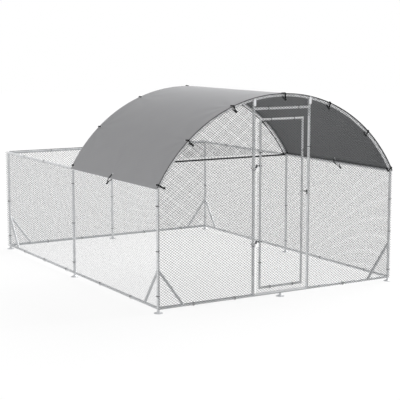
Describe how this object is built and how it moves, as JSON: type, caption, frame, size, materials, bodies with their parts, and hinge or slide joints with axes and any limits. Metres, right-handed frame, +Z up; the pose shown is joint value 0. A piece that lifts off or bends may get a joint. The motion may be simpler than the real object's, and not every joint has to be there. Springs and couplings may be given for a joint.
{
  "type": "chicken run",
  "caption": "Walk-in chicken run with an arched, covered front bay, a low mesh yard behind it, a galvanised tube frame and a hinged mesh door with a slide latch",
  "frame": {"origin": "centre of the footprint, on the ground under the feet", "axes": "+X to the right along the front as seen from outside, +Y from the front with the door to the back of the yard, +Z up"},
  "size_m": [2.886, 3.8858, 2.0489],
  "materials": {
    "galvanised_tube": "dull galvanised tube",
    "bright_zinc": "bright zinc plate",
    "dark_zinc": "dark zinc plate",
    "mesh_wire": "galvanised wire",
    "black_iron": "black paint",
    "cover_cloth": "coated woven cloth",
    "elastic_cord": "sheathed elastic",
    "black_plastic": "moulded plastic"
  },
  "bodies": {
    "frame": {"corner_post_front_left": "galvanised_tube", "corner_post_front_right": "galvanised_tube", "corner_post_back_left": "galvanised_tube", "corner_post_back_right": "galvanised_tube", "side_post_left": "galvanised_tube", "side_post_right": "galvanised_tube", "back_post": "galvanised_tube", "door_post_left": "galvanised_tube", "door_post_right": "galvanised_tube", "base_rail_front_left": "galvanised_tube", "base_rail_front_right": "galvanised_tube", "base_rail_left_front": "galvanised_tube", "base_rail_left_back": "galvanised_tube", "base_rail_right_front": "galvanised_tube", "base_rail_right_back": "galvanised_tube", "base_rail_back_left": "galvanised_tube", "base_rail_back_right": "galvanised_tube", "top_rail_left_front": "galvanised_tube", "top_rail_left_back": "galvanised_tube", "top_rail_right_front": "galvanised_tube", "top_rail_right_back": "galvanised_tube", "top_rail_back_left": "galvanised_tube", "top_rail_back_right": "galvanised_tube", "header_rail": "galvanised_tube", "front_arch_left": "galvanised_tube", "front_arch_right": "galvanised_tube", "mid_arch_left": "galvanised_tube", "mid_arch_right": "galvanised_tube", "ridge_tube": "galvanised_tube", "gable_tie": "dark_zinc", "base_fittings": "galvanised_tube", "eave_fittings": "galvanised_tube", "arch_foot_fittings": "galvanised_tube", "ridge_fittings": "galvanised_tube", "feet": "bright_zinc", "corner_braces": "galvanised_tube", "post_plates": "bright_zinc", "fasteners": "dark_zinc", "mesh_front_left": "mesh_wire", "mesh_front_right": "mesh_wire", "mesh_front_top": "mesh_wire", "mesh_left": "mesh_wire", "mesh_right": "mesh_wire", "mesh_back": "mesh_wire", "mesh_gable": "mesh_wire", "hinge_hooks": "dark_zinc", "latch_keeper": "black_iron", "cover": "cover_cloth", "cover_eyelets": "bright_zinc", "tie_cords": "elastic_cord", "tie_balls": "black_plastic"},
    "door": {"door_stile_left": "galvanised_tube", "door_stile_right": "galvanised_tube", "door_top_rail": "galvanised_tube", "door_bottom_rail": "galvanised_tube", "mesh_door": "mesh_wire", "hinge_eyes": "dark_zinc", "latch_barrel": "dark_zinc"},
    "latch_bolt_body": {"latch_bolt": "black_iron"}
  },
  "joints": [
    {"name": "door_swing", "type": "hinge", "parent": "frame", "child": "door", "pos_m": [-0.295, -1.9, 0.9595], "axis": [0, 0, -1], "range_deg": [0, 110]},
    {"name": "latch_slide", "type": "slide", "parent": "door", "child": "latch_bolt_body", "axis": [1, 0, 0], "range_m": [0, 0.0165]}
  ]
}
